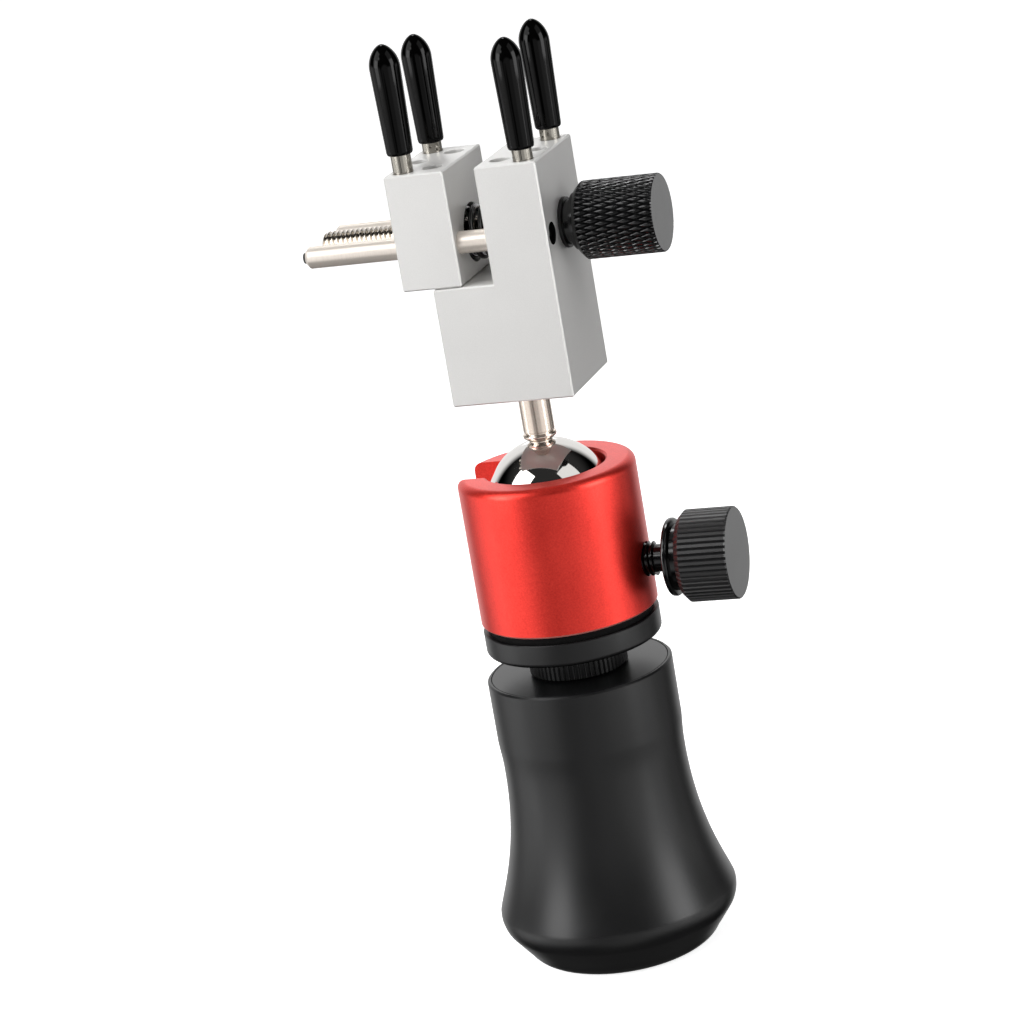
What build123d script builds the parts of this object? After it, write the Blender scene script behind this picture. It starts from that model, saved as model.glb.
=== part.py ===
"""Ball vise: flared handle, ball head with a drop notch, and a square-bar vise on the ball's stem.

Millimetres, +Z up. The origin is the centre of the handle's flat underside. +X is the side of the two
knobs, -X the side of the drop notch and of the guide rods' free ends. Everything stands at rest:
ball upright, lock tight, jaws open by jaw_gap.
"""
import os
from math import atan2, cos, pi, radians, sin, sqrt, tan

from build123d import *

os.makedirs("parts", exist_ok=True)

# ---- clearances ------------------------------------------------------------------------------
run_fit = 0.05          # radial, turning and sliding pieces
seat_fit = 0.03         # radial, pieces that are pressed, screwed or glued in
face_gap = 0.1          # between flat faces that turn or slide on each other

# ---- handle ----------------------------------------------------------------------------------
handle_height = 60.5
neck_radius = 18.9      # straight top part
neck_length = 12.9
neck_slope = 0.06       # of the waist curve where it leaves the straight part
neck_pull = 2.2         # how far the curve follows that slope
waist_radius = 18.57
waist_drop = 19.1       # waist below the handle's top
waist_pull_up = 2.6     # how far the curve runs upright above the waist
waist_pull_down = 16.8  # and below it
flare_radius = 24.4     # upper edge of the rounded belt
flare_height = 11.0     # its height above the bench
flare_angle = 17.0      # of the flare's lower end, from the vertical
flare_pull = 4.5        # how far the curve follows that angle
belt_height = 7.0       # lower edge of the belt
belt_radius = 23.6
belt_bulge = 0.35       # of the belt's face beyond a straight line
foot_radius = 16.0      # flat ring that stands on the bench
foot_round = 4.2        # reach of the rounding outside that ring
foot_angle = 62.0       # where the rounding runs into the undercut cone
top_break = 0.35        # small chamfer of the handle's top edge
cap_rim = 0.75          # metal left outside the cap's recess
cap_thickness = 2.5
pad_radius = 12.5
pad_thickness = 1.5

# ---- stud and lock ring ----------------------------------------------------------------------
stud_radius = 3.175     # 1/4"-20
stud_depth = 16.0       # into the handle, below the cap
stud_reach = 8.5        # into the flange
stud_break = 0.5
stud_end_room = 1.0     # of its hole beyond the stud's end
ring_radius = 10.0
ring_height = 5.8
ring_break = 0.4

# ---- ball head -------------------------------------------------------------------------------
flange_radius = 17.9
flange_height = 4.8
flange_round = 1.0
gasket_radius = 16.9
gasket_height = 1.5
housing_radius = 18.0
housing_height = 30.5
housing_round = 1.7
housing_break = 0.4     # small chamfer of the housing's lower edge
ball_radius = 12.7      # 25.4 mm ball
ball_drop = 7.2         # ball centre below the housing's top
lip_rise = 4.0          # where the spherical lip ends, above the ball's centre
cavity_radius = 13.1    # bore below the ball
notch_half = 5.7        # half width of the drop notch
lip_break = 0.4

# ---- ball stem -------------------------------------------------------------------------------
stem_radius = 3.175
stem_length = 11.2      # from the ball's top to the vise block
stem_in_ball = 10.5
stem_in_block = 12.0
bead_radius = 3.4
bead_height = 0.8
bead_rise = 0.65        # bead's lower edge above the ball's top
bead_ease = 0.12        # its upper and lower edge lie in by this
cone_radius = 2.3       # foot of the cone under the bead
groove_radius = 2.85
groove_height = 0.45

# ---- lock: screw, wedge and seat -------------------------------------------------------------
lock_height = 9.5       # lock axis above the housing's bottom
lock_radius = 3.5       # M7 x 1
wedge_angle = 15.0
wedge_tip = -6.0        # x of the wedge pin's thin end
wedge_back = 8.5        # x of the face that the lock screw pushes
wedge_mid_height = -0.9  # wedge face at x = 0, from the lock axis
thread_out = 1.9        # thread that shows outside the housing
neck_relief = 2.8       # radius of the relieved neck
collar_stand = 4.9      # collar's face from the housing
collar_radius = 7.85
collar_rim = 1.2
collar_hub_radius = 6.7
collar_length = 2.8
lock_knob_radius = 9.25
lock_knob_length = 10.85
lock_knob_taper = 1.1   # chamfer at its inner end
lock_screw_socket = 6.0
seat_radius = 13.0
seat_wall = 3.2         # seat below the ball's lowest point
seat_rise = 7.0         # seat's rim above the ball's lowest point
washer_inner = 9.5
washer_slack = 0.5      # free way of the seat above the washer
wedge_gap = 0.02        # between the wedge and the seat's groove

# ---- vise block and jaws ---------------------------------------------------------------------
bar = 25.0              # square bar
block_height = 23.8     # below the ledge
jaw_height = 23.2
arm_thickness = 12.5
jaw_thickness = 12.2
jaw_gap = 6.4           # open at rest
ledge_gap = 0.15
edge_break = 0.3
rod_height = 8.2        # rod and screw axes above the ledge
rod_radius = 2.2
rod_spacing = 18.0
rod_reach = 37.7        # full rod end from the block's middle
rod_chamfer = 0.7
rod_nub_radius = 1.35
rod_nub_tip = 1.05      # radius of its flat end
rod_nub_length = 0.6
rod_recess = 1.0        # rod end below the fixed jaw's outer face
screw_radius = 3.0      # M6 x 1
screw_reach = 37.5
screw_chamfer = 0.6
screw_in_knob = 12.0

# ---- thumb knob ------------------------------------------------------------------------------
thrust_radius = 5.0
thrust_thickness = 0.8
hub_radius = 4.4
hub_length = 1.5
boss_radius = 5.6
boss_length = 1.1
thumb_radius = 7.75     # over the tops of the knurl
thumb_length = 16.4
thumb_taper = 1.1
knob_break = 0.3

# ---- jaw spring ------------------------------------------------------------------------------
wire = 1.1
spring_outer = 5.55     # outer radius of the coil
spring_turns = 9
pocket_radius = 5.9
pocket_depth = 6.0

# ---- pins and caps ---------------------------------------------------------------------------
pin_radius = 2.0
hole_depth = 8.0
outer_inset = 3.25      # outer hole row from the jaw's outer face
inner_inset = 3.75      # inner hole row from the jaw's gap face
outer_spread = 9.3      # outer holes at -, 0 and + this y
inner_spread = 7.0
cap_length = 21.7
cap_radius = 3.05       # at the shoulder
cap_foot_radius = 2.65
cap_nose = 4.6          # height of the round nose above the shoulder
cap_side_pull = 0.52    # how far the nose follows the wall, in nose heights
cap_tip_pull = 0.3      # how far it leaves the tip level, in cap radii
cap_wall_top = 3.5      # vinyl above the pin
cap_foot_round = 0.5    # inward reach of the foot's rounding
cap_foot_rise = 1.3     # and its height
pin_show = {"fixed": (2.2, 2.2), "moving": (3.6, 2.0)}   # bare pin below the caps, front and back

# ---- heights worked out from these ---------------------------------------------------------
ring_z = handle_height
flange_z = handle_height + ring_height
gasket_z = flange_z + flange_height
housing_z = gasket_z + gasket_height
housing_top = housing_z + housing_height
ball_z = housing_top - ball_drop
ball_top = ball_z + ball_radius
lock_z = housing_z + lock_height
block_z = ball_top + stem_length
ledge_z = block_z + block_height
jaw_top = ledge_z + jaw_height
rod_z = ledge_z + rod_height
half = bar / 2
arm_x0 = half - arm_thickness
jaw_x1 = arm_x0 - jaw_gap
jaw_x0 = jaw_x1 - jaw_thickness
rod_ys = (-rod_spacing / 2, rod_spacing / 2)


def finish(builder, name):
    """Label a finished piece and write it."""
    builder.part.label = name
    export_step(builder.part, f"parts/{name}.step")


# ================================ handle ========================================================
waist_z = handle_height - waist_drop
line_z = handle_height - neck_length
flare_way = radians(flare_angle)
with BuildPart() as handle_body:
    with BuildSketch(Plane.XZ):
        with BuildLine():
            foot_top = (foot_radius + foot_round, foot_round * tan(radians(foot_angle / 2)))
            Line((0, 0), (foot_radius, 0))
            TangentArc((foot_radius, 0), foot_top, tangent=(1, 0))
            Line(foot_top, (belt_radius, belt_height))
            ThreePointArc(
                (belt_radius, belt_height),
                ((belt_radius + flare_radius) / 2 + belt_bulge, (belt_height + flare_height) / 2),
                (flare_radius, flare_height),
            )
            Bezier(
                (flare_radius, flare_height),
                (flare_radius - flare_pull * sin(flare_way), flare_height + flare_pull * cos(flare_way)),
                (waist_radius, waist_z - waist_pull_down),
                (waist_radius, waist_z),
            )
            Bezier(
                (waist_radius, waist_z),
                (waist_radius, waist_z + waist_pull_up),
                (neck_radius - neck_slope * neck_pull, line_z - neck_pull),
                (neck_radius, line_z),
            )
            Line((neck_radius, line_z), (neck_radius, handle_height - top_break))
            Line((neck_radius, handle_height - top_break), (neck_radius - top_break, handle_height))
            Line((neck_radius - top_break, handle_height), (0, handle_height))
            Line((0, handle_height), (0, 0))
        make_face()
    revolve(axis=Axis.Z)
    cap_seat_z = handle_height - cap_thickness
    with BuildSketch(Plane.XY.offset(cap_seat_z)):
        Circle(neck_radius - cap_rim)
    extrude(amount=cap_thickness, mode=Mode.SUBTRACT)
    with BuildSketch(Plane.XY.offset(cap_seat_z - stud_depth)):
        Circle(stud_radius + seat_fit)
    extrude(amount=stud_depth, mode=Mode.SUBTRACT)
    with BuildSketch(Plane.XY):
        Circle(pad_radius + seat_fit)
    extrude(amount=pad_thickness, mode=Mode.SUBTRACT)
finish(handle_body, "handle_body")

with BuildPart() as handle_cap:
    with BuildSketch(Plane.XY.offset(cap_seat_z)):
        Circle(neck_radius - cap_rim - run_fit)
        Circle(stud_radius + seat_fit, mode=Mode.SUBTRACT)
    extrude(amount=cap_thickness)
finish(handle_cap, "handle_cap")

with BuildPart() as foot_pad:
    with BuildSketch(Plane.XY):
        Circle(pad_radius)
    extrude(amount=pad_thickness)
finish(foot_pad, "foot_pad")

with BuildPart() as mounting_stud:
    with BuildSketch(Plane.XY.offset(cap_seat_z - stud_depth)):
        Circle(stud_radius)
    extrude(amount=flange_z + stud_reach - (cap_seat_z - stud_depth))
    chamfer(mounting_stud.edges().sort_by(Axis.Z)[-1], length=stud_break)
finish(mounting_stud, "mounting_stud")

with BuildPart() as lock_ring:
    with BuildSketch(Plane.XY.offset(ring_z + face_gap / 2)):
        Circle(ring_radius)
    extrude(amount=ring_height - face_gap)
    chamfer(lock_ring.edges(), length=ring_break)
    with BuildSketch(Plane.XY.offset(ring_z)):
        Circle(stud_radius + run_fit)
    extrude(amount=ring_height, mode=Mode.SUBTRACT)
finish(lock_ring, "lock_ring")

# ================================ ball head =====================================================
spigot_top = lock_z - lock_radius - face_gap
with BuildPart() as base_flange:
    with BuildSketch(Plane.XY.offset(flange_z)):
        Circle(flange_radius)
    extrude(amount=flange_height)
    fillet(base_flange.edges().sort_by(Axis.Z)[0], radius=flange_round)
    with BuildSketch(Plane.XY.offset(gasket_z)):
        Circle(cavity_radius - seat_fit)
    extrude(amount=spigot_top - gasket_z)
    with BuildSketch(Plane.XY.offset(flange_z)):
        Circle(stud_radius + seat_fit)
    extrude(amount=stud_reach + stud_end_room, mode=Mode.SUBTRACT)
finish(base_flange, "base_flange")

with BuildPart() as friction_gasket:
    with BuildSketch(Plane.XY.offset(gasket_z)):
        Circle(gasket_radius)
        Circle(cavity_radius, mode=Mode.SUBTRACT)
    extrude(amount=gasket_height)
finish(friction_gasket, "friction_gasket")

lip_radius = sqrt((ball_radius + run_fit) ** 2 - lip_rise**2)
socket_radius = ball_radius + run_fit
with BuildPart() as housing:
    with BuildSketch(Plane.XY.offset(housing_z)):
        Circle(housing_radius)
    extrude(amount=housing_height)
    fillet(housing.edges().sort_by(Axis.Z)[-1], radius=housing_round)
    chamfer(housing.edges().sort_by(Axis.Z)[0], length=housing_break)
    with BuildSketch(Plane.XZ):
        with BuildLine():
            # the cavity: bore, ball socket, then the open mouth above the lip
            Line((0, housing_z), (cavity_radius, housing_z))
            Line((cavity_radius, housing_z), (cavity_radius, ball_z))
            Line((cavity_radius, ball_z), (socket_radius, ball_z))
            ThreePointArc(
                (socket_radius, ball_z),
                (
                    socket_radius * cos(atan2(lip_rise, lip_radius) / 2),
                    ball_z + socket_radius * sin(atan2(lip_rise, lip_radius) / 2),
                ),
                (lip_radius, ball_z + lip_rise),
            )
            Line((lip_radius, ball_z + lip_rise), (lip_radius, housing_top - lip_break))
            Line((lip_radius, housing_top - lip_break), (lip_radius + lip_break, housing_top))
            Line((lip_radius + lip_break, housing_top), (0, housing_top))
            Line((0, housing_top), (0, housing_z))
        make_face()
    revolve(axis=Axis.Z, mode=Mode.SUBTRACT)
    # drop notch: a U through the -X wall, its round bottom centred on the ball
    with BuildSketch(Plane.YZ.offset(-housing_radius)):
        with Locations((0, ball_z)):
            Circle(notch_half)
        with Locations((0, (ball_z + housing_top) / 2)):
            Rectangle(2 * notch_half, ball_drop)
    extrude(amount=housing_radius, mode=Mode.SUBTRACT)
    # threaded hole of the lock screw
    with BuildSketch(Plane.YZ):
        with Locations((0, lock_z)):
            Circle(lock_radius + run_fit)
    extrude(amount=housing_radius, mode=Mode.SUBTRACT)
finish(housing, "housing")

# ================================ lock and seat =================================================
ball_low = ball_z - ball_radius
seat_z = ball_low - seat_wall
wedge_slope = tan(radians(wedge_angle))


def wedge_face(x):
    """Height of the wedge pin's sloping face at x."""
    return lock_z + wedge_mid_height + x * wedge_slope


with BuildPart() as wedge_pin:
    with BuildSketch(Plane.YZ.offset(wedge_tip)):
        with Locations((0, lock_z)):
            Circle(lock_radius)
    extrude(amount=wedge_back - wedge_tip)
    with BuildSketch(Plane.XZ):
        with BuildLine():
            Polyline(
                (wedge_tip, wedge_face(wedge_tip)),
                (wedge_back, wedge_face(wedge_back)),
                (wedge_back, lock_z + 2 * lock_radius),
                (wedge_tip, lock_z + 2 * lock_radius),
                close=True,
            )
        make_face()
    extrude(amount=2 * lock_radius, both=True, mode=Mode.SUBTRACT)
finish(wedge_pin, "wedge_pin")

with BuildPart() as ball_seat:
    with BuildSketch(Plane.XY.offset(seat_z)):
        Circle(seat_radius)
    extrude(amount=seat_wall + seat_rise)
    with Locations((0, 0, ball_z)):
        Sphere(ball_radius + run_fit, mode=Mode.SUBTRACT)
    # sloping groove that rides on the wedge, and a way for the lock screw
    groove_half = lock_radius + run_fit
    with BuildSketch(Plane.XZ):
        with BuildLine():
            Polyline(
                (-seat_radius, wedge_face(-seat_radius) + wedge_gap),
                (wedge_back, wedge_face(wedge_back) + wedge_gap),
                (wedge_back, lock_z + groove_half + washer_slack),
                (2 * seat_radius, lock_z + groove_half + washer_slack),
                (2 * seat_radius, seat_z - seat_wall),
                (-seat_radius, seat_z - seat_wall),
                close=True,
            )
        make_face()
    extrude(amount=groove_half, both=True, mode=Mode.SUBTRACT)
finish(ball_seat, "ball_seat")

with BuildPart() as wave_washer:
    with BuildSketch(Plane.XY.offset(spigot_top)):
        Circle(seat_radius - run_fit)
        Circle(washer_inner, mode=Mode.SUBTRACT)
        # open where the lock screw passes
        with Locations((seat_radius, 0)):
            Rectangle(2 * washer_inner, 2 * groove_half + run_fit, mode=Mode.SUBTRACT)
    extrude(amount=seat_z - spigot_top - washer_slack)
finish(wave_washer, "wave_washer")


# ---- lock screw, collar and knob ---------------------------------------------------------------
collar_x = housing_radius + collar_stand
lock_knob_x = collar_x + collar_length
lock_screw_end = lock_knob_x + lock_screw_socket
lock_axis = Axis((0, 0, lock_z), (1, 0, 0))

with BuildPart() as lock_screw:
    with BuildSketch(Plane.XZ):
        with BuildLine():
            Polyline(
                (wedge_back, lock_z),
                (wedge_back, lock_z + lock_radius),
                (housing_radius + thread_out, lock_z + lock_radius),
                (housing_radius + thread_out, lock_z + neck_relief),
                (collar_x, lock_z + neck_relief),
                (lock_screw_end, lock_z + neck_relief),
                (lock_screw_end, lock_z),
                close=True,
            )
        make_face()
    revolve(axis=lock_axis)
finish(lock_screw, "lock_screw")

with BuildPart() as lock_collar:
    with BuildSketch(Plane.YZ.offset(collar_x)):
        with Locations((0, lock_z)):
            Circle(collar_radius)
    extrude(amount=collar_rim)
    fillet(lock_collar.edges(), radius=collar_rim / 3)
    with BuildSketch(Plane.YZ.offset(collar_x + collar_rim)):
        with Locations((0, lock_z)):
            Circle(collar_hub_radius)
    extrude(amount=collar_length - collar_rim)
    with BuildSketch(Plane.YZ.offset(collar_x)):
        with Locations((0, lock_z)):
            Circle(neck_relief + seat_fit)
    extrude(amount=collar_length, mode=Mode.SUBTRACT)
finish(lock_collar, "lock_collar")

with BuildPart() as lock_knob:
    with BuildSketch(Plane.YZ.offset(lock_knob_x)):
        with Locations((0, lock_z)):
            Circle(lock_knob_radius)
    extrude(amount=lock_knob_length)
    chamfer(lock_knob.edges().sort_by(Axis.X)[0], length=lock_knob_taper)
    chamfer(lock_knob.edges().sort_by(Axis.X)[-1], length=knob_break)
    with BuildSketch(Plane.YZ.offset(lock_knob_x)):
        with Locations((0, lock_z)):
            Circle(neck_relief + seat_fit)
    extrude(amount=lock_screw_socket, mode=Mode.SUBTRACT)
finish(lock_knob, "lock_knob")

# ================================ ball and stem =================================================
stem_foot_z = ball_top - stem_in_ball
bead_z = ball_top + bead_rise
with BuildPart() as ball:
    with Locations((0, 0, ball_z)):
        Sphere(ball_radius)
    with BuildSketch(Plane.XY.offset(stem_foot_z)):
        Circle(cone_radius + run_fit)
    extrude(amount=2 * stem_in_ball, mode=Mode.SUBTRACT)
finish(ball, "ball")

with BuildPart() as ball_stem:
    with BuildSketch(Plane.XZ):
        with BuildLine():
            Polyline(
                (0, stem_foot_z),
                (cone_radius, stem_foot_z),
                (cone_radius, ball_top),
                (bead_radius - bead_ease, bead_z),
                (bead_radius, bead_z + bead_height / 2),
                (bead_radius - bead_ease, bead_z + bead_height),
                (groove_radius, bead_z + bead_height),
                (groove_radius, bead_z + bead_height + groove_height),
                (stem_radius, bead_z + bead_height + groove_height),
                (stem_radius, block_z + stem_in_block),
                (0, block_z + stem_in_block),
                close=True,
            )
        make_face()
    revolve(axis=Axis.Z)
finish(ball_stem, "ball_stem")

# ================================ vise block and jaws ===========================================
outer_ys = (-outer_spread, 0, outer_spread)
inner_ys = (-inner_spread, inner_spread)


def jaw_bores(x_outer, x_inner, x_pocket, pocket_way):
    """Sink the pin holes from the jaw's top, and the spring's pocket from its gap face."""
    spots = [(x_outer, y) for y in outer_ys] + [(x_inner, y) for y in inner_ys]
    with BuildSketch(Plane.XY.offset(jaw_top - hole_depth)) as pin_holes:
        with Locations(*spots):
            Circle(pin_radius + seat_fit)
    extrude(pin_holes.sketch, amount=hole_depth, mode=Mode.SUBTRACT)
    with BuildSketch(Plane.YZ.offset(x_pocket)) as pocket:
        with Locations((0, rod_z)):
            Circle(pocket_radius)
    extrude(pocket.sketch, amount=pocket_way * pocket_depth, mode=Mode.SUBTRACT)


fixed_outer_x = half - outer_inset
fixed_inner_x = arm_x0 + inner_inset
moving_outer_x = jaw_x0 + outer_inset
moving_inner_x = jaw_x1 - inner_inset

with BuildPart() as fixed_jaw:
    with BuildSketch(Plane.XZ.offset(-half)):
        with BuildLine():
            Polyline(
                (-half, block_z),
                (half, block_z),
                (half, jaw_top),
                (arm_x0, jaw_top),
                (arm_x0, ledge_z),
                (-half, ledge_z),
                close=True,
            )
        make_face()
    extrude(amount=bar)
    # every edge is broken but the inner corner of the ledge
    corner = fixed_jaw.edges().filter_by(Axis.Y).sort_by_distance((arm_x0, 0, ledge_z))[0]
    chamfer(fixed_jaw.edges().filter_by(lambda edge: edge != corner), length=edge_break)
    with BuildSketch(Plane.XY.offset(block_z)):
        Circle(stem_radius + seat_fit)
    extrude(amount=stem_in_block, mode=Mode.SUBTRACT)
    jaw_bores(fixed_outer_x, fixed_inner_x, arm_x0, 1)
    with BuildSketch(Plane.YZ.offset(arm_x0)):
        with Locations(*[(y, rod_z) for y in rod_ys]):
            Circle(rod_radius + seat_fit)
        with Locations((0, rod_z)):
            Circle(screw_radius + run_fit)
    extrude(amount=arm_thickness, mode=Mode.SUBTRACT)
finish(fixed_jaw, "fixed_jaw")

with BuildPart() as moving_jaw:
    with BuildSketch(Plane.XZ.offset(-half)):
        with Locations(((jaw_x0 + jaw_x1) / 2, (ledge_z + ledge_gap + jaw_top) / 2)):
            Rectangle(jaw_thickness, jaw_height - ledge_gap)
    extrude(amount=bar)
    chamfer(moving_jaw.edges(), length=edge_break)
    jaw_bores(moving_outer_x, moving_inner_x, jaw_x1, -1)
    with BuildSketch(Plane.YZ.offset(jaw_x0)):
        with Locations(*[(y, rod_z) for y in rod_ys]):
            Circle(rod_radius + run_fit)
        with Locations((0, rod_z)):
            Circle(screw_radius + run_fit)
    extrude(amount=jaw_thickness, mode=Mode.SUBTRACT)
finish(moving_jaw, "moving_jaw")

# ---- guide rods and lead screw -----------------------------------------------------------------
rod_nose = rod_reach + rod_chamfer
with BuildPart() as guide_rods:
    for rod_y in rod_ys:
        with BuildSketch(Plane.XZ.offset(-rod_y)):
            with BuildLine():
                Polyline(
                    (-rod_nose - rod_nub_length, rod_z),
                    (-rod_nose - rod_nub_length, rod_z + rod_nub_tip),
                    (-rod_nose, rod_z + rod_nub_radius),
                    (-rod_nose, rod_z + rod_radius - rod_chamfer),
                    (-rod_reach, rod_z + rod_radius),
                    (half - rod_recess, rod_z + rod_radius),
                    (half - rod_recess, rod_z),
                    close=True,
                )
            make_face()
        revolve(axis=Axis((0, rod_y, rod_z), (1, 0, 0)))
finish(guide_rods, "guide_rods")

thrust_x = half
hub_x = thrust_x + thrust_thickness
boss_x = hub_x + hub_length
thumb_x = boss_x + boss_length
with BuildPart() as lead_screw:
    with BuildSketch(Plane.YZ.offset(-screw_reach)):
        with Locations((0, rod_z)):
            Circle(screw_radius)
    extrude(amount=screw_reach + thumb_x + screw_in_knob)
    chamfer(lead_screw.edges().sort_by(Axis.X)[0], length=screw_chamfer)
finish(lead_screw, "lead_screw")

with BuildPart() as thrust_washer:
    with BuildSketch(Plane.YZ.offset(thrust_x)):
        with Locations((0, rod_z)):
            Circle(thrust_radius)
            Circle(screw_radius + run_fit, mode=Mode.SUBTRACT)
    extrude(amount=thrust_thickness)
finish(thrust_washer, "thrust_washer")

with BuildPart() as thumb_knob:
    with BuildSketch(Plane.XZ):
        with BuildLine():
            Polyline(
                (hub_x, rod_z),
                (hub_x, rod_z + hub_radius),
                (boss_x, rod_z + hub_radius),
                (boss_x, rod_z + boss_radius),
                (thumb_x, rod_z + boss_radius),
                (thumb_x, rod_z + thumb_radius - thumb_taper),
                (thumb_x + thumb_taper, rod_z + thumb_radius),
                (thumb_x + thumb_length - knob_break, rod_z + thumb_radius),
                (thumb_x + thumb_length, rod_z + thumb_radius - knob_break),
                (thumb_x + thumb_length, rod_z),
                close=True,
            )
        make_face()
    revolve(axis=Axis((0, 0, rod_z), (1, 0, 0)))
    with BuildSketch(Plane.YZ.offset(hub_x)):
        with Locations((0, rod_z)):
            Circle(screw_radius + seat_fit)
    extrude(amount=thumb_x - hub_x + screw_in_knob, mode=Mode.SUBTRACT)
finish(thumb_knob, "thumb_knob")

# ---- jaw spring: one tube wound round the lead screw, from pocket floor to pocket floor ----------
coil_radius = spring_outer - wire / 2
coil_x0 = jaw_x1 - pocket_depth + wire / 2 + face_gap
coil_x1 = arm_x0 + pocket_depth - wire / 2 - face_gap
coil_pitch = (coil_x1 - coil_x0) / spring_turns
quarters = 4 * spring_turns


def coil_point(turn):
    """Point of the coil's centre line after so many turns, and its direction there."""
    a = 2 * pi * turn
    point = Vector(coil_x0 + coil_pitch * turn, coil_radius * cos(a), rod_z + coil_radius * sin(a))
    way = Vector(coil_pitch / (2 * pi), -coil_radius * sin(a), coil_radius * cos(a))
    return point, way.normalized()


def biarc_joint(p0, t0, p1, t1):
    """Where two arcs meet that leave p0 along t0 and reach p1 along t1, and their direction there."""
    v = p1 - p0
    t = t0 + t1
    k = 2 * (1 - t0.dot(t1))
    d = (-v.dot(t) + sqrt(v.dot(t) ** 2 + k * v.dot(v))) / k
    q0 = p0 + t0 * d
    q1 = p1 - t1 * d
    return (q0 + q1) * 0.5, (q1 - q0).normalized()


with BuildPart() as jaw_spring:
    with BuildLine() as coil_line:
        for quarter in range(quarters):
            start, start_way = coil_point(quarter / 4)
            end, end_way = coil_point((quarter + 1) / 4)
            joint, joint_way = biarc_joint(start, start_way, end, end_way)
            TangentArc(start, joint, tangent=start_way)
            TangentArc(joint, end, tangent=joint_way)
    with BuildSketch(Plane(origin=coil_point(0)[0], z_dir=coil_point(0)[1])):
        Circle(wire / 2)
    sweep()
finish(jaw_spring, "jaw_spring")

turn_steps = 72
coil_points = [coil_point(n / turn_steps)[0] for n in range(spring_turns * turn_steps + 1)]
coil_gap = min(
    (a - b).length - wire
    for n, a in enumerate(coil_points)
    for b in coil_points[n + turn_steps * 3 // 4 :]
)
print("jaw_spring: least gap between turns", round(coil_gap, 3), "mm")

# ================================ pins and caps =================================================
def pins(x, shows):
    """Two jaw pins at x, front and back, up into their caps."""
    for side, show in zip((-1, 1), shows):
        with BuildSketch(Plane.XY.offset(jaw_top - hole_depth)) as section:
            with Locations((x, side * outer_spread)):
                Circle(pin_radius)
        extrude(section.sketch, amount=hole_depth + show + cap_length - cap_wall_top)


def caps(x, shows):
    """The two caps on those pins."""
    for side, show in zip((-1, 1), shows):
        foot = jaw_top + show
        tip = foot + cap_length
        shoulder = tip - cap_nose
        foot_edge = (x + cap_foot_radius - cap_foot_round, foot)
        wall_foot = (x + cap_foot_radius, foot + cap_foot_rise)
        y = side * outer_spread
        with BuildSketch(Plane.XZ.offset(-y)) as profile:
            with BuildLine():
                Line((x, foot), foot_edge)
                Bezier(
                    foot_edge,
                    (x + cap_foot_radius, foot),
                    (x + cap_foot_radius, foot + cap_foot_rise / 2),
                    wall_foot,
                )
                Line(wall_foot, (x + cap_radius, shoulder))
                Bezier(
                    (x + cap_radius, shoulder),
                    (x + cap_radius, shoulder + cap_side_pull * cap_nose),
                    (x + cap_tip_pull * cap_radius, tip),
                    (x, tip),
                )
                Line((x, tip), (x, foot))
            make_face()
        revolve(profile.sketch, axis=Axis((x, y, 0), (0, 0, 1)))
        with BuildSketch(Plane.XY.offset(foot)) as bore:
            with Locations((x, y)):
                Circle(pin_radius + seat_fit)
        extrude(bore.sketch, amount=cap_length - cap_wall_top, mode=Mode.SUBTRACT)


with BuildPart() as fixed_pins:
    pins(fixed_outer_x, pin_show["fixed"])
finish(fixed_pins, "fixed_pins")

with BuildPart() as moving_pins:
    pins(moving_outer_x, pin_show["moving"])
finish(moving_pins, "moving_pins")

with BuildPart() as fixed_caps:
    caps(fixed_outer_x, pin_show["fixed"])
finish(fixed_caps, "fixed_caps")

with BuildPart() as moving_caps:
    caps(moving_outer_x, pin_show["moving"])
finish(moving_caps, "moving_caps")
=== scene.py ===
"""Looks of the ball vise: its pieces, finishes, floor, light and camera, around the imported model.

Lengths are written in millimetres and turned to metres where a mesh is made. +X is the side of the two
knobs, -X the side of the drop notch, -Y the front, +Z up. Every piece is modelled in its place at rest.
"""

from math import atan2, cos, hypot, pi, radians, sin, sqrt

import bpy
from mathutils import Matrix, Vector
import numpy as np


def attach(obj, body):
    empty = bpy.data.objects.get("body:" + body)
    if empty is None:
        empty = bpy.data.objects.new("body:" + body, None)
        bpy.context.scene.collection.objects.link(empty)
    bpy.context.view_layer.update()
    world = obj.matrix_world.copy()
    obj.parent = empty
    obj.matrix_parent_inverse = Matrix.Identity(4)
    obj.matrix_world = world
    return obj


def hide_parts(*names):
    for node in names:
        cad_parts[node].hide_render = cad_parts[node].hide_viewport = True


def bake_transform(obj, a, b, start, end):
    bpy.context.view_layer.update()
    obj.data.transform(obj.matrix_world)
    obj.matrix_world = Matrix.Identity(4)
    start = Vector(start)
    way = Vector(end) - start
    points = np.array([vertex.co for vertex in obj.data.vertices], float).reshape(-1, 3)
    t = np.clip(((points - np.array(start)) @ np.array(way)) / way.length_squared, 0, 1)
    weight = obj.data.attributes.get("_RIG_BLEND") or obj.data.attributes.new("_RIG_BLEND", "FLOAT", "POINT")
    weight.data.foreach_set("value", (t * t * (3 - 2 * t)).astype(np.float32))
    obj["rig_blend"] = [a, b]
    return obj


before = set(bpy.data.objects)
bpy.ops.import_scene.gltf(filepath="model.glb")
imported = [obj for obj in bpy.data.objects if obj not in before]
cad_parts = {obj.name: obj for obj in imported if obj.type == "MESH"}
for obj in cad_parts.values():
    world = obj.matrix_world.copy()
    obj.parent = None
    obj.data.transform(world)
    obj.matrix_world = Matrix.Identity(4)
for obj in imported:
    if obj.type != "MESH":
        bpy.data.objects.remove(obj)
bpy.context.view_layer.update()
mm = 0.001
merge_gap = 0.0005 * mm

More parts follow.
